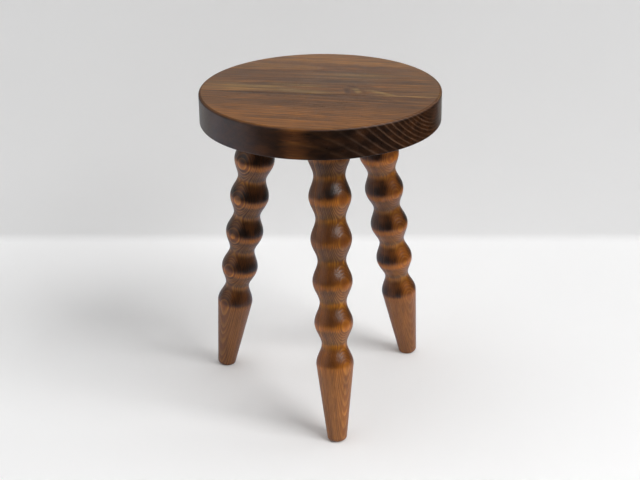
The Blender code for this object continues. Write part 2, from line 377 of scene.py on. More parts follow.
# How the boards lie in the tree: the pith of each, the turn of the front one's grain, and the rings
FRONT_PITH = (0.0, SEAM_Y, TOP_Z + 0.0526)
REAR_PITH = (0.0, 0.085, TOP_Z - 0.090)
FRONT_GRAIN_TURN = math.radians(-3.3)
FRONT_RINGS = {
    "Ring Width": 0.0005, "Ring Growth": 0.05, "Ring Phase": 0.70, "Unevenness": 0.0, "Wander": 0.0015,
    "Early Share": 0.55}
REAR_RINGS = {"Ring Width": 0.0050, "Wander": 0.004, "Taper": 0.012}

# The knot, along the board and behind the seam: its middle, its half sizes and how far it bends the rings
KNOT_AT = (0.0445, 0.0177)
KNOT_HALF_SIZE = (0.022, 0.009)
KNOT_BULGE = 0.012
# Soft strokes, along the board and behind the seam: start, end, half width and share
PALE_STROKES = (
    ((0.042, 0.026), (0.050, 0.010), 0.0044, 0.95),
    ((0.062, 0.020), (0.096, 0.001), 0.0042, 0.90),
    ((0.072, 0.001), (0.146, 0.002), 0.0022, 0.80),
    ((0.128, 0.015), (0.152, 0.015), 0.0030, 0.45),
    ((-0.060, 0.012), (0.010, 0.005), 0.0080, 0.75),
    ((-0.120, 0.022), (-0.050, 0.023), 0.0060, 0.95),
    ((-0.062, 0.034), (0.000, 0.030), 0.0055, 0.60),
    ((0.010, 0.078), (0.080, 0.078), 0.0110, 0.32),
)
DARK_STROKES = (
    ((0.030, 0.036), (0.046, 0.031), 0.0040, 0.75),
    ((0.031, 0.028), (0.037, 0.004), 0.0040, 0.60),
    ((0.050, 0.036), (0.066, 0.034), 0.0025, 0.50),
    ((-0.150, 0.060), (0.050, 0.053), 0.0070, 0.42),
    ((-0.005, 0.022), (0.028, 0.029), 0.0035, 0.45),
)
SEAM_STROKES = (
    ((-0.146, -0.0012), (0.026, -0.0050), 0.0022, 0.80),
    ((0.066, -0.006), (0.100, -0.020), 0.0030, 0.45),
)

# Stretches over which a look changes, as where it starts, where it ends, and the value at each.
# The front board: the warm front behind the seam, then along the board the rings that are drowned in
# stain, those that stand out, and the late wood's relief
FRONT_WARMTH = (-0.105, -0.030, 1.0, 0.0)
RINGS_DROWN = (-0.060, 0.020, 0.85, 0.0)
RINGS_STAND_OUT = (0.020, 0.070, 0.0, 0.85)
FRONT_RELIEF = (0.050, 0.100, 0.04, 0.50)
# The depth of the stain in its end grain: at the left end, and the change over each stretch
END_DEPTH = 0.72
END_DEPTH_CHANGES = (
    (-0.138, -0.105, 0.0, -0.14), (-0.045, -0.015, 0.0, 0.22), (0.030, 0.060, 0.0, -0.05),
    (0.120, 0.145, 0.0, -0.10))
# The rear board: the pale streak, whose reach behind the seam narrows to the right and whose back edge is
# counted in that reach, the core of the knot in its half sizes, the grey band and the back's painted sheen
STREAK_REACH, STREAK_NARROWS = 0.0150, 0.170
STREAK_FRONT, STREAK_BACK = (0.0030, 0.0100, 0.0, 1.0), (0.75, 1.20, 1.0, 0.0)
STREAK_LEFT, STREAK_RIGHT = (-0.142, -0.105, 0.35, 1.0), (-0.040, 0.035, 1.0, 0.10)
STREAK_FLOW = (0.32, 0.52, 0.55, 1.0)
KNOT_CORE = (0.02, 0.12, 1.0, 0.0)
BAND_FRONT, BAND_BACK = (0.034, 0.048, 0.0, 1.0), (0.082, 0.096, 1.0, 0.0)
BAND_LEFT, BAND_RIGHT = (-0.060, -0.010, 0.0, 1.0), (0.050, 0.085, 1.0, 0.0)
STREAK_SHARE, CORE_SHARE, BAND_SHARE = 0.5, 0.6, 0.5
PAINTED_SHEEN_BACK = (0.085, 0.150, 0.0, 1.0)
REAR_DEPTH, REAR_RELIEF = 0.82, 0.50

# Heights above the floor over which a leg's look changes
CONE_TO_BOBBINS = (0.082, 0.110)
LOWER_TO_UPPER = (0.160, 0.270)
UPPER_TO_TOP = (0.300, 0.340)
# The stain's depth rising towards the top is partly deeper stain and partly painted shade under the top
STAIN_AND_SHADE_RISE = (0.060, 0.220)
STAIN_AND_SHADE_PEAK = (0.290, 0.330)
TOP_DEPTH = 0.90

# The blanks of the front, the right and the left leg: how far off and on which bearing the pith lies, the
# look of the rings, and the share of stain that fibres ending downwards take
LEG_RINGS = {"Wander": 0.003, "Taper": 0.004}
BLANK_GRAIN = {
    "reach": (0.060, 0.065, 0.104),
    "bearing": (math.radians(47), math.radians(44), math.radians(-29)),
    "ring width": (0.0016, 0.0016, 0.0018),
    "contrast": (0.90, 0.55, 0.55),
    "early": (0.84, 1.06, 0.74),
    "late": (1.02, 1.01, 1.15),
    "lower share": (0.78, 0.50, 0.70),
}
# How the three take the stain, named as the inputs of the bobbins' stain
BLANK_STAIN = {
    "Cone Tone": (1.27, 0.92, 1.00),
    "Upper Tone": (0.88, 1.00, 0.98),
    # Top Tone darkens the bobbins under the top, partly as painted shade of the top
    "Top Tone": (0.72, 0.90, 0.95),
    "Neck Tone": (1.28, 1.00, 0.97),
    "Dull Height": (0.245, 0.238, 0.220),
    "Dull Tone": (0.68, 0.72, 0.96),
    "Dull Depth": (0.60, 1.00, 1.00),
    # The pith side's lighter tone and shallower stain are partly painted light where the lamp falls
    "Heart Tone": (1.06, 1.04, 1.05),
    "Heart Depth": (0.40, 0.54, 0.80),
    "Away Tone": (1.22, 1.10, 1.12),
    "Away Depth": (0.66, 0.92, 1.00),
    "Lowest": (0.42, 0.80, 0.62),
    "Deepest": (0.80, 0.92, 0.93),
}


def node(tree, kind, **settings):
    """A new node with its settings."""
    made = tree.nodes.new(kind)
    for key, value in settings.items():
        setattr(made, key, value)
    return made


def feed(tree, socket, value):
    """Links an output to a socket, or sets the socket's own value."""
    if isinstance(value, bpy.types.NodeSocket):
        tree.links.new(value, socket)
    else:
        socket.default_value = value


def feed_named(tree, sockets, values):
    """Feeds several sockets, each value given by its socket's name."""
    for name, value in values.items():
        feed(tree, sockets[name], value)


def math_node(tree, operation, *values):
    """One operation on numbers, each an output or a plain value."""
    made = node(tree, "ShaderNodeMath", operation=operation)
    for socket, value in zip(made.inputs, values):
        feed(tree, socket, value)
    return made.outputs[0]


def vector_node(tree, operation, *values):
    """One operation on vectors or colours, each an output or plain values."""
    made = node(tree, "ShaderNodeVectorMath", operation=operation)
    for socket, value in zip(made.inputs, values):
        feed(tree, socket, value)
    return made.outputs["Value"] if operation in ("LENGTH", "DOT_PRODUCT") else made.outputs["Vector"]


def scaled(tree, colour, factor):
    """A colour or vector multiplied by one factor."""
    made = node(tree, "ShaderNodeVectorMath", operation="SCALE")
    feed(tree, made.inputs[0], colour)
    feed(tree, made.inputs["Scale"], factor)
    return made.outputs["Vector"]


def chained(tree, operation, values):
    """One operation carried through all the values."""
    result, *others = values
    for value in others:
        result = math_node(tree, operation, result, value)
    return result


def product(tree, *values):
    return chained(tree, "MULTIPLY", values)


def total(tree, *values):
    return chained(tree, "ADD", values)


def greatest(tree, *values):
    return chained(tree, "MAXIMUM", values)


def minus(tree, value, taken):
    return math_node(tree, "SUBTRACT", value, taken)


def spread(tree, vector):
    """The three parts of a vector."""
    made = node(tree, "ShaderNodeSeparateXYZ")
    feed(tree, made.inputs[0], vector)
    return made.outputs["X"], made.outputs["Y"], made.outputs["Z"]


def span(tree, value, low, high, to_low=0.0, to_high=1.0, smooth=True):
    """A value carried from one range to another, held at both ends."""
    made = node(tree, "ShaderNodeMapRange", interpolation_type="SMOOTHSTEP" if smooth else "LINEAR")
    feed_named(tree, made.inputs, {
        "Value": value, "From Min": low, "From Max": high, "To Min": to_low, "To Max": to_high})
    return made.outputs["Result"]


def within(tree, *stretches):
    """The product of several spans, each given as its value and its stretch."""
    return product(tree, *[span(tree, value, *stretch) for value, stretch in stretches])


def toned(tree, mask, tone):
    """A factor of one where a mask is empty, and of the tone where it is full."""
    return span(tree, mask, 0.0, 1.0, 1.0, tone)


def noise(tree, vector, waves, detail, roughness=0.5, output="Fac"):
    """Noise with so many waves a metre along each part of the vector."""
    made = node(tree, "ShaderNodeTexNoise", noise_dimensions="3D")
    feed_named(tree, made.inputs, {
        "Vector": vector_node(tree, "MULTIPLY", vector, waves), "Scale": 1.0, "Detail": detail,
        "Roughness": roughness})
    return made.outputs[output]


def blend_colour(tree, factor, a, b, mode="MIX"):
    """The first colour blended by a factor towards the second, or towards the product of both."""
    made = node(tree, "ShaderNodeMix", data_type="RGBA", blend_type=mode)
    feed(tree, made.inputs["Factor"], factor)
    feed(tree, made.inputs[6], a)
    feed(tree, made.inputs[7], b)
    return made.outputs[2]


def new_group(name, inputs, outputs):
    """An empty shader group. Inputs are names with start values: none for a vector, a number for a value
    and four numbers for a colour. Outputs are names, and those of colours hold the word Colour."""
    group = bpy.data.node_groups.new(name, "ShaderNodeTree")
    for label, start in inputs.items():
        kind = "Vector" if start is None else "Color" if isinstance(start, tuple) else "Float"
        socket = group.interface.new_socket(label, in_out="INPUT", socket_type="NodeSocket" + kind)
        if start is not None:
            socket.default_value = start
    for label in outputs:
        kind = "Color" if "Colour" in label else "Float"
        group.interface.new_socket(label, in_out="OUTPUT", socket_type="NodeSocket" + kind)
    return group, node(group, "NodeGroupInput").outputs, node(group, "NodeGroupOutput").inputs


def use_group(tree, group, values):
    """Places a group, feeds its inputs by name and gives its outputs."""
    made = node(tree, "ShaderNodeGroup", node_tree=group)
    feed_named(tree, made.inputs, values)
    return made.outputs


def pine_rings_group():
    """Growth rings round a pith along Z: the distance from the pith, wandering a little along the grain,
    counted in rings whose width grows with the distance, count = log(1 + growth distance / width) / growth.
    Each ring rises slowly from early to late wood and drops at its end."""
    wander_waves, wander_detail = (14.0, 14.0, 5.0), 2.5
    uneven_pace = 0.37
    late_full, late_ends = 0.82, 0.88
    weakest_ring = 0.6
    group, given, made = new_group(
        "pine_rings",
        {
            "Vector": None, "Ring Width": 0.003, "Ring Growth": 0.001, "Ring Phase": 0.0,
            "Unevenness": 1.6, "Wander": 0.004, "Early Share": 0.3, "Taper": 0.0, "Swell": 0.0},
        ("Late Wood",))
    place, growth = given["Vector"], given["Ring Growth"]
    slow = noise(group, place, wander_waves, wander_detail, output="Color")
    offset = vector_node(group, "SUBTRACT", slow, (0.5, 0.5, 0.5))
    bent = vector_node(group, "ADD", place, scaled(group, offset, given["Wander"]))
    radius = vector_node(group, "LENGTH", vector_node(group, "MULTIPLY", bent, (1.0, 1.0, 0.0)))
    leaning = product(group, spread(group, place)[2], given["Taper"])
    radius = total(group, radius, leaning, given["Swell"])
    grown = math_node(group, "DIVIDE", product(group, radius, growth), given["Ring Width"])
    grown = math_node(group, "LOGARITHM", total(group, grown, 1.0), math.e)
    count = total(group, math_node(group, "DIVIDE", grown, growth), given["Ring Phase"])
    uneven = node(group, "ShaderNodeTexNoise", noise_dimensions="1D")
    feed_named(group, uneven.inputs, {"W": product(group, count, uneven_pace), "Scale": 1.0, "Detail": 1.0})
    shift = minus(group, uneven.outputs["Fac"], 0.5)
    count = total(group, count, product(group, shift, given["Unevenness"]))
    phase = math_node(group, "FRACT", count)
    rise = span(group, phase, given["Early Share"], late_full)
    fall = span(group, phase, late_ends, 1.0, 1.0, 0.0)
    tone = node(group, "ShaderNodeTexWhiteNoise", noise_dimensions="1D")
    feed(group, tone.inputs["W"], math_node(group, "FLOOR", count))
    strength = span(group, tone.outputs["Value"], 0.0, 1.0, weakest_ring, 1.0, smooth=False)
    feed(group, made["Late Wood"], product(group, rise, fall, strength))
    return group


def pine_fibres_group():
    """Streaks along Z at six sizes, as noise drawn out along the grain: threads of half a millimetre,
    streaks of three, flow lines of seven, slow bands and blotches, and short dark resin dashes, which are
    the peaks of their noise. Each size is its waves, its detail and its roughness."""
    sizes = {
        "Threads": ((1100.0, 1100.0, 45.0), 2.0, 0.6),
        "Streaks": ((330.0, 330.0, 13.0), 3.0, 0.65),
        "Flow": ((140.0, 140.0, 8.0), 2.0, 0.6),
        "Bands": ((50.0, 50.0, 4.0), 2.0, 0.5),
        "Blotches": ((75.0, 75.0, 38.0), 1.5, 0.5),
        "Dashes": ((900.0, 900.0, 70.0), 1.0, 0.5),
    }
    dash_peaks = (0.66, 0.74)
    group, given, made = new_group("pine_fibres", {"Vector": None}, sizes)
    for name, size in sizes.items():
        drawn = noise(group, given["Vector"], *size)
        feed(group, made[name], span(group, drawn, *dash_peaks) if name == "Dashes" else drawn)
    return group


def cut_fibres_group():
    """How far a surface cuts across the fibres, from its slope against the grain, the cosine between its
    normal and the grain. The slope is made ragged by the streaks. Fibres that end upwards lie open and
    count in full, and those that end downwards count by a share."""
    lower_starts, lower_full = -0.12, -0.34
    group, given, made = new_group(
        "cut_fibres",
        {
            "Slope": 0.0, "Streaks": 0.5, "Starts At": 0.0, "Full At": 0.19, "Lower Share": 0.0,
            "Raggedness": 0.1},
        ("Cut", "Lower"))
    ragged = minus(group, given["Streaks"], 0.5)
    slope = math_node(group, "MULTIPLY_ADD", ragged, given["Raggedness"], given["Slope"])
    upper = span(group, slope, given["Starts At"], given["Full At"])
    lower = span(group, slope, lower_starts, lower_full)
    cut = greatest(group, upper, product(group, lower, given["Lower Share"]))
    feed_named(group, made, {"Cut": cut, "Lower": lower})
    return group


def walnut_stain_group():
    """Stain taken up by pine: early wood drinks more than late wood and cut fibres far more than whole
    ones, and the streaks, threads and slow bands make it uneven. Each darkens the colour by a share.

    The relief is how much of the cut fibres' darkening the late wood is spared, and the grain contrast
    the power of the unevenness, halved where the fibres are cut. Threads make the varnish rougher, and
    cut fibres by their own amount. Its height follows the threads, the late wood and the streaks.
    """
    shares = {
        "Streaks": (0.25, 0.75, 0.68, 1.34),
        "Threads": (0.20, 0.80, 0.74, 1.26),
        "Flow": (0.30, 0.70, 0.84, 1.16),
        "Bands": (0.30, 0.70, 0.92, 1.08),
        "Blotches": (0.30, 0.70, 0.90, 1.10),
        "Dashes": (0.00, 1.00, 1.00, 0.70),
    }
    blotched_depth = (0.30, 0.70, 1.18, 0.82)
    darkest, cut_contrast = 0.94, 0.5
    varnish_roughness = (0.20, 0.80, 0.26, 0.36)
    late_height, streak_height = 0.6, 1.2
    group, given, made = new_group(
        "walnut_stain",
        {
            "Early Colour": PLAIN, "Late Colour": PLAIN, "Late Wood": 0.0, "Threads": 0.5,
            "Streaks": 0.5, "Flow": 0.5, "Bands": 0.5, "Blotches": 0.5, "Dashes": 0.0, "Cut": 0.0,
            "Cut Depth": 0.8, "Relief": 0.3, "Cut Roughness": 0.0, "Grain Contrast": 1.0},
        ("Colour", "Roughness", "Height"))
    late, cut = given["Late Wood"], given["Cut"]
    wood = blend_colour(group, late, given["Early Colour"], given["Late Colour"])
    relief = minus(group, 1.0, product(group, late, given["Relief"]))
    blotched = span(group, given["Blotches"], *blotched_depth, smooth=False)
    drunk = math_node(group, "MINIMUM", product(group, given["Cut Depth"], relief, blotched), darkest)
    tone = minus(group, 1.0, product(group, cut, drunk))
    uneven = product(group, *[
        span(group, given[name], *share, smooth=False) for name, share in shares.items()])
    drowned = span(group, cut, 0.0, 1.0, 1.0, cut_contrast, smooth=False)
    uneven = math_node(group, "POWER", uneven, product(group, given["Grain Contrast"], drowned))
    rough = span(group, given["Threads"], *varnish_roughness, smooth=False)
    height = math_node(group, "MULTIPLY_ADD", late, late_height, given["Threads"])
    feed_named(group, made, {
        "Colour": scaled(group, wood, product(group, tone, uneven)),
        "Roughness": math_node(group, "MULTIPLY_ADD", cut, given["Cut Roughness"], rough),
        "Height": math_node(group, "MULTIPLY_ADD", given["Streaks"], streak_height, height)})
    return group


def board_place_group():
    """Place on a board: how far along it and behind the seam, and behind the seam made ragged by the
    streaks, coarsely or finely. The slope is the cosine between the normal and the grain, the same at
    both ends. Upwards is where the top's own colour shows. Towards the rounded edges the varnish is
    rougher, and on the upper one the stain is worn thin, which also paints a highlight on that edge,
    less so on the left, where painted shade keeps it darker."""
    raggedness, fine_raggedness = 0.012, 0.0042
    top_slope = (0.60, 0.95)
    edge_roughness = (0.05, 0.35, 0.0, 0.30)
    worn_highlit_slope, worn_highlit_share = (0.20, 0.65), (-0.12, 0.0, 0.60, 0.85)
    group, given, made = new_group(
        "board_place",
        {"Place": None, "Normal": None, "Grain": None, "Streaks": 0.5},
        ("Along", "Behind", "Ragged", "Finely Ragged", "Slope", "Upwards", "Edge Roughness", "Stain Kept"))
    x, y, _ = spread(group, given["Place"])
    behind = minus(group, y, SEAM_Y)
    ragged = minus(group, given["Streaks"], 0.5)
    slope = vector_node(group, "DOT_PRODUCT", given["Normal"], given["Grain"])
    upright = spread(group, given["Normal"])[2]
    level = math_node(group, "ABSOLUTE", upright)
    # Worn stain on the upper edge: partly real wear, partly a painted highlight, less on the left as
    # painted shade
    worn_and_highlit = within(group, (upright, worn_highlit_slope), (x, worn_highlit_share))
    feed_named(group, made, {
        "Along": x, "Behind": behind,
        "Ragged": math_node(group, "MULTIPLY_ADD", ragged, raggedness, behind),
        "Finely Ragged": math_node(group, "MULTIPLY_ADD", ragged, fine_raggedness, behind),
        "Slope": math_node(group, "ABSOLUTE", slope),
        "Upwards": span(group, upright, *top_slope),
        "Edge Roughness": span(group, level, *edge_roughness),
        "Stain Kept": minus(group, 1.0, worn_and_highlit)})
    return group


def soft_stroke_group():
    """A soft straight mark between two points on a board. Of the distances along and across the line
    through both points, it is full up to near the half width and between the ends, and fades past them."""
    full_share, faded_share, end_fade = 0.3, 1.3, 0.3
    group, given, made = new_group(
        "soft_stroke",
        {"Along": 0.0, "Behind": 0.0, "Start": None, "End": None, "Half Width": 0.002, "Share": 1.0},
        ("Mask",))
    place = node(group, "ShaderNodeCombineXYZ")
    feed_named(group, place.inputs, {"X": given["Along"], "Y": given["Behind"]})
    from_start = vector_node(group, "SUBTRACT", place.outputs[0], given["Start"])
    line = vector_node(group, "SUBTRACT", given["End"], given["Start"])
    way, far = vector_node(group, "NORMALIZE", line), vector_node(group, "LENGTH", line)
    run = vector_node(group, "DOT_PRODUCT", from_start, way)
    off = vector_node(group, "LENGTH", vector_node(group, "SUBTRACT", from_start, scaled(group, way, run)))
    inner, outer = [product(group, given["Half Width"], share) for share in (full_share, faded_share)]
    before, after, near_end, past_end = [
        product(group, far, share) for share in (-end_fade, end_fade, 1 - end_fade, 1 + end_fade)]
    mask = within(
        group, (off, (inner, outer, 1.0, 0.0)), (run, (before, after)),
        (run, (near_end, past_end, 1.0, 0.0)))
    feed(group, made["Mask"], product(group, mask, given["Share"]))
    return group


def bobbin_place_group():
    """Place on a leg's turning: the height above the floor, and the fullness, zero at the necks and one at
    the beads, as the distance from the axis set between the straight lines through the necks and through
    the beads. The slope is the cosine between the normal and the axis, moved with the fullness, so that
    stain creeps past the middle of each bead. Upper is where the turning looks up its axis, heart where
    it looks to the pith, and away where it looks sideways or away from it."""
    upper_slope, heart_turn, away_turn = (-0.12, 0.06), (0.72, 1.0), (0.0, 0.60, 1.0, 0.0)
    bead_slope = (TOP_BEAD - BASE_BEAD) / (BEAD_PITCH * (BEAD_COUNT - 1))
    neck_slope = (TOP_NECK - BASE_NECK) / (BEAD_PITCH * (BEAD_COUNT - 2))
    bead_foot = BASE_BEAD - BASE_BEAD_AT * bead_slope
    neck_foot = BASE_NECK - (BASE_BEAD_AT + BEAD_PITCH / 2) * neck_slope
    group, given, made = new_group(
        "bobbin_place",
        {"Place": None, "Normal": None, "Foot": None, "Axis": None, "Heart Side": None},
        ("Height", "Fullness", "Slope", "Upper", "Heart", "Away"))
    from_foot = vector_node(group, "SUBTRACT", given["Place"], given["Foot"])
    up_axis = vector_node(group, "DOT_PRODUCT", from_foot, given["Axis"])
    off_axis = vector_node(group, "SUBTRACT", from_foot, scaled(group, given["Axis"], up_axis))
    neck = math_node(group, "MULTIPLY_ADD", up_axis, neck_slope, neck_foot)
    bead = math_node(group, "MULTIPLY_ADD", up_axis, bead_slope, bead_foot)
    full = span(group, vector_node(group, "LENGTH", off_axis), neck, bead, smooth=False)
    slope = vector_node(group, "DOT_PRODUCT", given["Normal"], given["Axis"])
    to_heart = vector_node(group, "DOT_PRODUCT", given["Normal"], given["Heart Side"])
    feed_named(group, made, {
        "Height": spread(group, given["Place"])[2], "Fullness": full,
        "Slope": math_node(group, "MULTIPLY_ADD", minus(group, full, 0.5), BEAD_CREEP, slope),
        "Upper": span(group, slope, *upper_slope),
        "Heart": span(group, to_heart, *heart_turn),
        "Away": span(group, to_heart, *away_turn)})
    return group


def bobbin_stain_group():
    """How a leg takes the stain: darker under the top and lighter towards the foot, partly as deeper stain
    and partly as painted shade of the top. The side to the pith, the sides off it and a dull stretch round
    one height change its depth by shares, and the lighter pith side is partly painted light where the lamp
    falls. On the upper side of a bead it drowns the rings, and below the late wood keeps clear of it. The
    cone is yellower than the bobbins and the necks are duller, and the lower sides of the beads carry a
    painted grey reflection of the floor. The upper bobbins, those under the top, the dull stretch and the
    sides have tones of their own."""
    neck_fades = 0.40
    dull_stretch = (0.020, 0.060, 1.0, 0.0)
    bead_drowned, heart_drowned, cone_drowned = 0.75, 0.50, 0.45
    bead_depth = (0.1, 0.8, 0.80, 1.06)
    lower_relief, upper_relief = 0.45, 0.20
    group, given, made = new_group(
        "bobbin_stain",
        {
            "Early Colour": PLAIN, "Late Colour": PLAIN, "Height": 0.0, "Fullness": 0.5, "Upper": 0.0,
            "Heart": 0.0, "Away": 0.0, "Cut": 0.0, "Lower": 0.0, **dict.fromkeys(BLANK_STAIN, 1.0)},
        ("Early Colour", "Late Colour", "Relief", "Cut Depth"))
    height, full, upper, heart, away, cut = [
        given[name] for name in ("Height", "Fullness", "Upper", "Heart", "Away", "Cut")]
    bobbin = span(group, height, *CONE_TO_BOBBINS)
    off_dull = math_node(group, "ABSOLUTE", minus(group, height, given["Dull Height"]))
    dull = span(group, off_dull, *dull_stretch)
    neck_tint = scaled(group, NECK_TINT, given["Neck Tone"])
    tint = blend_colour(group, span(group, full, 0.0, neck_fades), neck_tint, PLAIN)
    # The lower sides of the beads take a painted grey reflection of the pale floor
    tint = blend_colour(group, given["Lower"], tint, UNDER_PAINTED_SHEEN, "MULTIPLY")
    tint = blend_colour(group, bobbin, scaled(group, CONE_TINT, given["Cone Tone"]), tint)
    # Tone high up under the top is partly painted shade of the top
    tone = product(
        group, span(group, height, *LOWER_TO_UPPER, 1.0, given["Upper Tone"]),
        span(group, height, *UPPER_TO_TOP, 1.0, given["Top Tone"]),
        toned(group, dull, given["Dull Tone"]),
        toned(group, product(group, away, bobbin), given["Away Tone"]),
        toned(group, product(group, heart, bobbin), given["Heart Tone"]))
    tint = scaled(group, tint, tone)
    early, late = [
        vector_node(group, "MULTIPLY", given[name], tint) for name in ("Early Colour", "Late Colour")]
    drowned = product(group, cut, upper, span(group, heart, 0.0, 1.0, bead_drowned, heart_drowned))
    drowned = greatest(group, drowned, span(group, bobbin, 0.0, 1.0, cone_drowned, 0.0))
    # Depth rising to its deepest under the top: partly deeper stain, partly painted shade of the top
    to_top = minus(group, TOP_DEPTH, given["Deepest"])
    depth = total(
        group, span(group, height, *STAIN_AND_SHADE_RISE, given["Lowest"], given["Deepest"], smooth=False),
        span(group, height, *STAIN_AND_SHADE_PEAK, 0.0, to_top))
    # Less stain on the pith side, partly painted light where the lamp falls
    depth = product(
        group, depth, span(group, full, *bead_depth), toned(group, dull, given["Dull Depth"]),
        toned(group, away, given["Away Depth"]), toned(group, heart, given["Heart Depth"]))
    feed_named(group, made, {
        "Early Colour": early, "Late Colour": blend_colour(group, drowned, late, early),
        "Relief": span(group, upper, 0.0, 1.0, lower_relief, upper_relief), "Cut Depth": depth})
    return group


PINE_RINGS = pine_rings_group()
PINE_FIBRES = pine_fibres_group()
CUT_FIBRES = cut_fibres_group()
WALNUT_STAIN = walnut_stain_group()
BOARD_PLACE = board_place_group()
SOFT_STROKE = soft_stroke_group()
BOBBIN_PLACE = bobbin_place_group()
BOBBIN_STAIN = bobbin_stain_group()


def new_material(name):
    """A material with its node tree and its main shader."""
    material = bpy.data.materials.new(name)
    material.use_nodes = True
    tree = material.node_tree
    return material, tree, tree.nodes["Principled BSDF"]


def stained_pine(name, pith, turn, rings, gloss, texture, figure):
    """Stained and varnished pine with its grain along the turned Z axis and its pith at a given point.

    The rings take their numbers as settings of their group. A figure is a function of the node tree, the
    place, the surface's normal, the grain's direction and the fibres. It gives the bulge of the rings and
    the settings of the stain.
    """
    material, tree, shader = new_material(name)
    place = node(tree, "ShaderNodeTexCoord").outputs["Object"]
    mapping = node(tree, "ShaderNodeMapping", vector_type="TEXTURE")
    feed_named(tree, mapping.inputs, {"Vector": place, "Location": pith, "Rotation": turn.to_euler()})
    along_grain = mapping.outputs["Vector"]
    fibres = use_group(tree, PINE_FIBRES, {"Vector": along_grain})
    normal = node(tree, "ShaderNodeNewGeometry").outputs["Normal"]
    swell, stain = figure(tree, place, normal, tuple(turn.col[2]), fibres)
    grown = use_group(tree, PINE_RINGS, {"Vector": along_grain, "Swell": swell, **rings})
    streaks = {output.name: output for output in fibres}
    soaked = use_group(tree, WALNUT_STAIN, {**stain, **streaks, "Late Wood": grown["Late Wood"]})
    bump = node(tree, "ShaderNodeBump")
    feed_named(tree, bump.inputs, {
        "Strength": texture, "Distance": TEXTURE_HEIGHT, "Height": soaked["Height"]})
    feed_named(tree, shader.inputs, {
        "Base Color": soaked["Colour"], "Roughness": soaked["Roughness"], "Specular IOR Level": gloss,
        "Normal": bump.outputs["Normal"]})
    return material


def board_spot(tree, place, normal, grain, fibres):
    """Place on a board and how far its fibres are cut open there."""
    spot = use_group(
        tree, BOARD_PLACE,
        {"Place": place, "Normal": normal, "Grain": grain, "Streaks": fibres["Streaks"]})
    cut = use_group(tree, CUT_FIBRES, {"Slope": spot["Slope"], "Streaks": fibres["Streaks"], **TOP_CUT})
    return spot, cut["Cut"]


def strokes(tree, spot, marks):
    """Several strokes on a board, each with its mask."""
    masks = []
    for start, end, half_width, share in marks:
        stroke = use_group(tree, SOFT_STROKE, {
            "Along": spot["Along"], "Behind": spot["Finely Ragged"], "Start": (*start, 0.0),
            "End": (*end, 0.0), "Half Width": half_width, "Share": share})
        masks.append(stroke["Mask"])
    return masks


def front_board_figure(tree, place, normal, grain, fibres):
    """The front board's own marks: a warmer front, a dark edge along the seam on the left, and on its end
    grain rings that stand out in a greyer tone on the right and are nearly drowned in stain on the left,
    where the stain is thinner."""
    spot, cut = board_spot(tree, place, normal, grain, fibres)
    x, upwards = spot["Along"], spot["Upwards"]
    warm = product(tree, span(tree, spot["Ragged"], *FRONT_WARMTH), upwards)
    glow = blend_colour(tree, upwards, RIM_TINT, PLAIN)
    glow = blend_colour(tree, warm, glow, WARM_FRONT)
    seam = greatest(tree, *strokes(tree, spot, SEAM_STROKES))
    early, late = [
        blend_colour(tree, seam, vector_node(tree, "MULTIPLY", colour, glow), KNOTWOOD)
        for colour in (TOP_EARLY, TOP_LATE)]
    drowned = product(tree, cut, span(tree, x, *RINGS_DROWN))
    standing_out = product(tree, cut, span(tree, x, *RINGS_STAND_OUT))
    late = blend_colour(tree, drowned, late, early)
    late = blend_colour(tree, standing_out, late, END_RINGS)
    depth = total(tree, END_DEPTH, *[span(tree, x, *change) for change in END_DEPTH_CHANGES])
    return 0.0, {
        "Early Colour": early, "Late Colour": late, "Cut": cut,
        "Cut Depth": product(tree, depth, spot["Stain Kept"]),
        "Relief": span(tree, x, *FRONT_RELIEF),
        "Cut Roughness": spot["Edge Roughness"], "Grain Contrast": TOP_CONTRAST}


def rear_board_figure(tree, place, normal, grain, fibres):
    """The rear board's own marks: a pale streak of sapwood behind the seam on the left, a small knot to
    the right of the middle that the rings bend round, with pale and dark strokes beside it, a pale line
    from there to the right rim, a dark line and a greyer band behind, and a paler, bluer back that is
    painted sheen, the wall's reflection laid into the colour. Each is a soft mask of the place on the
    board, made ragged by the streaks."""
    spot, cut = board_spot(tree, place, normal, grain, fibres)
    x, ragged = spot["Along"], spot["Ragged"]
    reach = minus(tree, STREAK_REACH, product(tree, x, STREAK_NARROWS))
    inside = math_node(tree, "DIVIDE", ragged, reach)
    streak = within(
        tree, (ragged, STREAK_FRONT), (inside, STREAK_BACK), (x, STREAK_LEFT), (x, STREAK_RIGHT),
        (fibres["Flow"], STREAK_FLOW))

    off_knot = [
        math_node(tree, "DIVIDE", minus(tree, part, middle), half)
        for part, middle, half in zip((x, spot["Behind"]), KNOT_AT, KNOT_HALF_SIZE)]
    away = total(tree, *[product(tree, part, part) for part in off_knot])
    bulge = math_node(tree, "EXPONENT", product(tree, away, -1.0))
    core = span(tree, away, *KNOT_CORE)

    pale = greatest(tree, product(tree, streak, STREAK_SHARE), *strokes(tree, spot, PALE_STROKES))
    dark = greatest(tree, product(tree, core, CORE_SHARE), *strokes(tree, spot, DARK_STROKES))
    band = within(tree, (ragged, BAND_FRONT), (ragged, BAND_BACK), (x, BAND_LEFT), (x, BAND_RIGHT))
    band = product(tree, band, BAND_SHARE)
    # The paler, bluer back is painted sheen: the wall's reflection laid into the colour
    glow = blend_colour(tree, span(tree, ragged, *PAINTED_SHEEN_BACK), PLAIN, REAR_PAINTED_SHEEN)
    colours = []
    for colour in (TOP_EARLY, TOP_LATE):
        mixed = blend_colour(tree, band, vector_node(tree, "MULTIPLY", colour, glow), GREY_BAND)
        mixed = blend_colour(tree, pale, mixed, SAPWOOD)
        colours.append(blend_colour(tree, dark, mixed, KNOTWOOD))
    return product(tree, bulge, KNOT_BULGE), {
        "Early Colour": colours[0], "Late Colour": colours[1], "Cut": cut,
        "Cut Depth": product(tree, REAR_DEPTH, spot["Stain Kept"]), "Relief": REAR_RELIEF,
        "Cut Roughness": spot["Edge Roughness"], "Grain Contrast": TOP_CONTRAST}


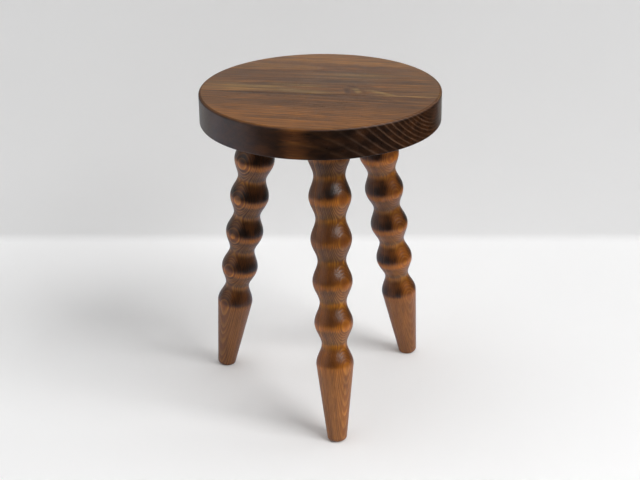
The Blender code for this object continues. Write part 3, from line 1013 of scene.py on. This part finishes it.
def leg_figure(foot, heart_side, blank, taking):
    """The figure of a leg that stands on a foot point, with the pith of its blank on the heart side, and
    with its own way of taking the stain."""
    def figure(tree, place, normal, grain, fibres):
        spot = use_group(tree, BOBBIN_PLACE, {
            "Place": place, "Normal": normal, "Foot": tuple(foot), "Axis": grain,
            "Heart Side": tuple(heart_side)})
        cut = use_group(tree, CUT_FIBRES, {
            "Slope": spot["Slope"], "Streaks": fibres["Streaks"], "Lower Share": blank["lower share"],
            **LEG_CUT})
        taken = use_group(tree, BOBBIN_STAIN, {
            "Early Colour": (*(Vector(LEG_EARLY) * blank["early"]), 1.0),
            "Late Colour": (*(Vector(LEG_LATE) * blank["late"]), 1.0),
            **{name: spot[name] for name in ("Height", "Fullness", "Upper", "Heart", "Away")},
            "Cut": cut["Cut"], "Lower": cut["Lower"], **taking})
        stain = {output.name: output for output in taken}
        return 0.0, {**stain, "Cut": cut["Cut"], "Grain Contrast": blank["contrast"]}
    return figure


def bare_beech(name):
    """Unfinished beech for the hidden dowels and wedges: pale pinkish wood with short dark flecks."""
    streak_share, fleck_share = 0.6, 0.4
    matt_roughness = (0.20, 0.80, 0.55, 0.70)
    material, tree, shader = new_material(name)
    place = node(tree, "ShaderNodeTexCoord").outputs["Object"]
    fibres = use_group(tree, PINE_FIBRES, {"Vector": place})
    flecks = product(tree, fibres["Dashes"], fleck_share)
    tone = math_node(tree, "MULTIPLY_ADD", fibres["Streaks"], streak_share, flecks)
    feed_named(tree, shader.inputs, {
        "Base Color": blend_colour(tree, tone, BARE_BEECH, BEECH_FLECK),
        "Roughness": span(tree, fibres["Threads"], *matt_roughness)})
    return material


def dress(piece, cad_node, material):
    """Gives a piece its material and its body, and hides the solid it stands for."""
    piece.data.materials.clear()
    piece.data.materials.append(material)
    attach(piece, "root")
    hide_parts(cad_node)


def make_top():
    """The two boards. The front one lies with its heart side up, its pith over the seam a little above the
    top, and its grain turned a few degrees. The rear one lies with its heart side down."""
    front_turn = Matrix.Rotation(FRONT_GRAIN_TURN, 3, "Z") @ GRAIN_ALONG_X
    dress(make_board("front"), "seat_front_board", stained_pine(
        "stained_pine_front_board", FRONT_PITH, front_turn, FRONT_RINGS,
        TOP_GLOSS, TOP_TEXTURE, front_board_figure))
    dress(make_board("rear"), "seat_rear_board", stained_pine(
        "stained_pine_rear_board", REAR_PITH, GRAIN_ALONG_X, REAR_RINGS,
        TOP_GLOSS, TOP_TEXTURE, rear_board_figure))


def make_legs():
    """Each leg is turned from its own blank, so its pith lies at its own distance and bearing, the bearing
    counted as for the legs themselves: the front leg and the right one turn the flat of their rings to
    the front right, and the left one to the front left."""
    for number, (name, bearing) in enumerate(LEG_BEARINGS.items()):
        matrix = leg_matrix(bearing)
        blank, taking = [
            {key: values[number] for key, values in table.items()} for table in (BLANK_GRAIN, BLANK_STAIN)]
        rings = {"Ring Width": blank["ring width"], **LEG_RINGS}
        heart_side = Vector((math.sin(blank["bearing"]), -math.cos(blank["bearing"]), 0.0))
        foot = matrix @ Vector((0.0, 0.0, -LEG_LENGTH))
        dress(make_leg(name, bearing), "leg_" + name, stained_pine(
            "stained_pine_leg_" + name, matrix.translation + heart_side * blank["reach"], matrix.to_3x3(),
            rings, LEG_GLOSS, LEG_TEXTURE, leg_figure(foot, heart_side, blank, taking)))


def dress_hidden_pieces():
    """The dowels and wedges keep the solids' own shapes and are only given their wood."""
    beech = bare_beech("bare_beech")
    for name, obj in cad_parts.items():
        if name.startswith(("edge_dowel", "wedge")):
            obj.data.materials.clear()
            obj.data.materials.append(beech)


# Studio. Places on the floor are counted in the camera's turn, to its right and away from it.
# The pale sheet that reflections show: its ends, how askew its front lies, and how softly it ends
SHEET_LEFT, SHEET_RIGHT, SHEET_FRONT, SHEET_TOP = -2.2, 0.45, -0.38, 0.57
SHEET_SKEW = 0.13
SIDE_FADE, TOP_FADE = 0.10, 0.12
ABOVE_SHEET = 0.42
# The paper, and its tones of painted light and shade as stretches: towards the camera, up the wall, and
# high up from left to right
PAPER = (0.90, 0.90, 0.90)
PAPER_ROUGHNESS, PAPER_GLOSS = 0.9, 0.1
NEAR_TONE = (-0.45, 0.05, 1.078, 1.0)
LOW_TONE, LOW_TO_HIGH = 1.03, (0.0, 0.40)
HIGH_TONE = (-0.30, 0.50, 0.935, 0.905)
# Its colours in reflections: near the stand, farther off, on the wall, and the room round the sheet
NEAR_TO_FLOOR, FLOOR_TO_WALL = (0.35, 0.80), (0.0, 0.05)
MIRRORED_NEAR = (0.46, 0.57, 0.72, 1.0)
MIRRORED_FLOOR = (0.67, 0.74, 0.86, 1.0)
MIRRORED_WALL = (0.585, 0.585, 0.585, 1.0)
MIRRORED_ROOM = (0.02, 0.02, 0.02, 1.0)
# The world as it lights the scene, as reflections show it, and as the camera sees it past the sheet
WORLD, MIRRORED_WORLD, SEEN_WORLD = [(tone, tone, tone, 1.0) for tone in (0.115, 0.03, 0.75)]
# The sheet itself: the arc between floor and wall, how far it lies under the feet, and how far it reaches
COVE_RADIUS, FLOOR_SINK = 0.012, 0.0002
FLOOR_REACH, FLOOR_STEP, WALL_RISE, SHEET_HALF_WIDTH = 8.0, 3.0, 6.0, 8.0
CAMERA_TURN = Matrix.Rotation(CAMERA_BEARING, 3, "Z")
# Soft lamps as name, direction from the stand, distance, width, height and power
KEY_SIDE, KEY_RISE = math.radians(34), math.radians(45)
KEY_WAY = (
    math.cos(KEY_SIDE) * math.cos(KEY_RISE), -math.sin(KEY_SIDE) * math.cos(KEY_RISE), math.sin(KEY_RISE))
SOFT_LAMPS = (
    ("soft_key", KEY_WAY, 8.0, 4.4, 4.0, 430.0),
    ("soft_right", (1.0, -0.10, 0.45), 5.5, 4.0, 2.5, 6.0),
    ("soft_overhead", (-0.15, 0.22, 1.0), 3.2, 3.2, 3.2, 38.5),
    ("soft_fill", (-1.0, -0.45, 0.45), 4.5, 4.5, 3.6, 33.0),
)
LAMP_AIM = Vector((0.0, 0.0, 0.2))


def camera_axes():
    """Right, up and forward of the photograph's camera, in the stand's space."""
    level = Vector((math.sin(CAMERA_YAW), math.cos(CAMERA_YAW), 0.0))
    forward = level * math.cos(CAMERA_PITCH) - Vector((0, 0, math.sin(CAMERA_PITCH)))
    right = Vector((math.cos(CAMERA_YAW), -math.sin(CAMERA_YAW), 0.0))
    up = right.cross(forward)
    rolled_right = right * math.cos(CAMERA_ROLL) - up * math.sin(CAMERA_ROLL)
    rolled_up = up * math.cos(CAMERA_ROLL) + right * math.sin(CAMERA_ROLL)
    return CAMERA_TURN @ rolled_right, CAMERA_TURN @ rolled_up, CAMERA_TURN @ forward


def camera_place():
    """Where the photograph's camera stands, in the stand's space."""
    return CAMERA_TURN @ Vector((0.0, -CAMERA_DISTANCE, CAMERA_HEIGHT))


def make_camera():
    """The scene's camera, with the photograph's place, turn and width of view."""
    right, up, forward = camera_axes()
    camera = bpy.data.objects.new("camera", bpy.data.cameras.new("camera"))
    bpy.context.scene.collection.objects.link(camera)
    turn = Matrix((right, up, -forward)).transposed().to_4x4()
    camera.matrix_world = Matrix.Translation(camera_place()) @ turn
    camera.data.sensor_width = SENSOR_WIDTH
    camera.data.lens = FOCAL_PIXELS / IMAGE_WIDTH * SENSOR_WIDTH
    bpy.context.scene.camera = camera


def floor_point(column, row):
    """Where the sight line through a pixel meets the floor."""
    right, up, forward = camera_axes()
    across, down = (column - IMAGE_WIDTH / 2) / FOCAL_PIXELS, (row - IMAGE_HEIGHT / 2) / FOCAL_PIXELS
    sight = forward + right * across - up * down
    place = camera_place()
    return place - sight * (place.z / sight.z)


def matt_paper(name):
    """Pale matt paper that lets the camera look through from behind. Painted light makes it a little paler
    near the camera and low down, and painted shade dims it high up to the right. Reflections show it in
    duller tones and only as a sheet of limited size, with a dark room round it."""
    material, tree, shader = new_material(name)
    mapping = node(tree, "ShaderNodeMapping", vector_type="TEXTURE")
    feed_named(tree, mapping.inputs, {
        "Vector": node(tree, "ShaderNodeTexCoord").outputs["Object"],
        "Rotation": (0.0, 0.0, CAMERA_BEARING)})
    place = mapping.outputs["Vector"]
    x, y, z = spread(tree, place)
    askew = minus(tree, y, product(tree, x, SHEET_SKEW))
    inside = within(
        tree,
        (x, (SHEET_LEFT - SIDE_FADE, SHEET_LEFT + SIDE_FADE)),
        (x, (SHEET_RIGHT - SIDE_FADE, SHEET_RIGHT + SIDE_FADE, 1.0, 0.0)),
        (askew, (SHEET_FRONT - SIDE_FADE, SHEET_FRONT + SIDE_FADE)),
        (z, (SHEET_TOP - TOP_FADE, SHEET_TOP + TOP_FADE, 1.0, ABOVE_SHEET)))
    path = node(tree, "ShaderNodeLightPath").outputs
    # Painted light and shade on the paper: paler near the camera and low down, dimmer high up to the right
    high = span(tree, x, *HIGH_TONE, smooth=False)
    low = span(tree, z, *LOW_TO_HIGH, LOW_TONE, high, smooth=False)
    pale = scaled(tree, PAPER, product(tree, span(tree, askew, *NEAR_TONE), low))
    away = vector_node(tree, "LENGTH", vector_node(tree, "MULTIPLY", place, (1.0, 1.0, 0.0)))
    mirrored = blend_colour(tree, span(tree, away, *NEAR_TO_FLOOR), MIRRORED_NEAR, MIRRORED_FLOOR)
    mirrored = blend_colour(tree, span(tree, z, *FLOOR_TO_WALL), mirrored, MIRRORED_WALL)
    mirrored = blend_colour(tree, inside, MIRRORED_ROOM, mirrored)
    feed_named(tree, shader.inputs, {
        "Base Color": blend_colour(tree, path["Is Glossy Ray"], pale, mirrored),
        "Roughness": PAPER_ROUGHNESS, "Specular IOR Level": PAPER_GLOSS})
    clear = node(tree, "ShaderNodeBsdfTransparent")
    backfacing = node(tree, "ShaderNodeNewGeometry").outputs["Backfacing"]
    mix = node(tree, "ShaderNodeMixShader")
    feed(tree, mix.inputs[0], product(tree, backfacing, path["Is Camera Ray"]))
    feed(tree, mix.inputs[1], shader.outputs[0])
    feed(tree, mix.inputs[2], clear.outputs[0])
    feed(tree, tree.nodes["Material Output"].inputs["Surface"], mix.outputs[0])
    return material


def make_sweep():
    """Floor and wall in one sheet: straight floor, a small quarter arc and a straight wall, drawn along
    the line where the photograph's floor meets its wall."""
    left, right = floor_point(0, WALL_LINE_ROW), floor_point(IMAGE_WIDTH, WALL_LINE_ROW)
    along = (right - left).normalized()
    back = Vector((-along.y, along.x, 0.0))
    middle = (left + right) / 2
    on_cove, across = 13, 17
    quarter = np.linspace(0.0, math.pi / 2, on_cove)
    depth = np.concatenate([[-FLOOR_REACH, -FLOOR_STEP], COVE_RADIUS * (np.sin(quarter) - 1), [0.0]])
    rise = np.concatenate([[0.0, 0.0], COVE_RADIUS * (1 - np.cos(quarter)), [WALL_RISE]])
    sideways = np.linspace(-SHEET_HALF_WIDTH, SHEET_HALF_WIDTH, across)
    points = (
        np.array(middle)
        + depth[:, None, None] * np.array(back)
        + sideways[None, :, None] * np.array(along)
        + (rise[:, None, None] - FLOOR_SINK) * np.array([0.0, 0.0, 1.0])
    )
    rows, columns, _ = points.shape
    index = np.arange(rows * columns).reshape(rows, columns)
    quads = np.stack([index[:-1, :-1], index[:-1, 1:], index[1:, 1:], index[1:, :-1]], axis=-1)
    sweep = mesh_object("paper_sweep", points.reshape(-1, 3), [quads.reshape(-1, 4)])
    sweep.data.shade_smooth()
    sweep.data.materials.append(matt_paper("pale_paper"))


def soft_lamp(name, towards, distance, width, height, energy):
    """A soft lamp that looks at the stand from a direction given in the camera's turn."""
    way = CAMERA_TURN @ Vector(towards).normalized()
    lamp = bpy.data.lights.new(name, "AREA")
    lamp.shape = "RECTANGLE"
    lamp.size = width
    lamp.size_y = height
    lamp.energy = energy
    obj = bpy.data.objects.new(name, lamp)
    bpy.context.scene.collection.objects.link(obj)
    obj.location = LAMP_AIM + way * distance
    obj.rotation_euler = way.to_track_quat("Z", "Y").to_euler()
    obj.visible_camera = False


def make_light():
    """A soft key lamp from the right front, a dim lamp on the right, one overhead, a fill from the left
    and an even dim world that reflections show darker and the camera sees pale past the sheet's ends."""
    for lamp in SOFT_LAMPS:
        soft_lamp(*lamp)
    world = bpy.data.worlds.new("studio")
    bpy.context.scene.world = world
    world.use_nodes = True
    tree = world.node_tree
    path = node(tree, "ShaderNodeLightPath").outputs
    colour = blend_colour(tree, path["Is Glossy Ray"], WORLD, MIRRORED_WORLD)
    colour = blend_colour(tree, path["Is Camera Ray"], colour, SEEN_WORLD)
    feed(tree, tree.nodes["Background"].inputs["Color"], colour)


make_top()
make_legs()
dress_hidden_pieces()
make_camera()
make_sweep()
make_light()
bpy.context.scene.view_settings.view_transform = "Standard"
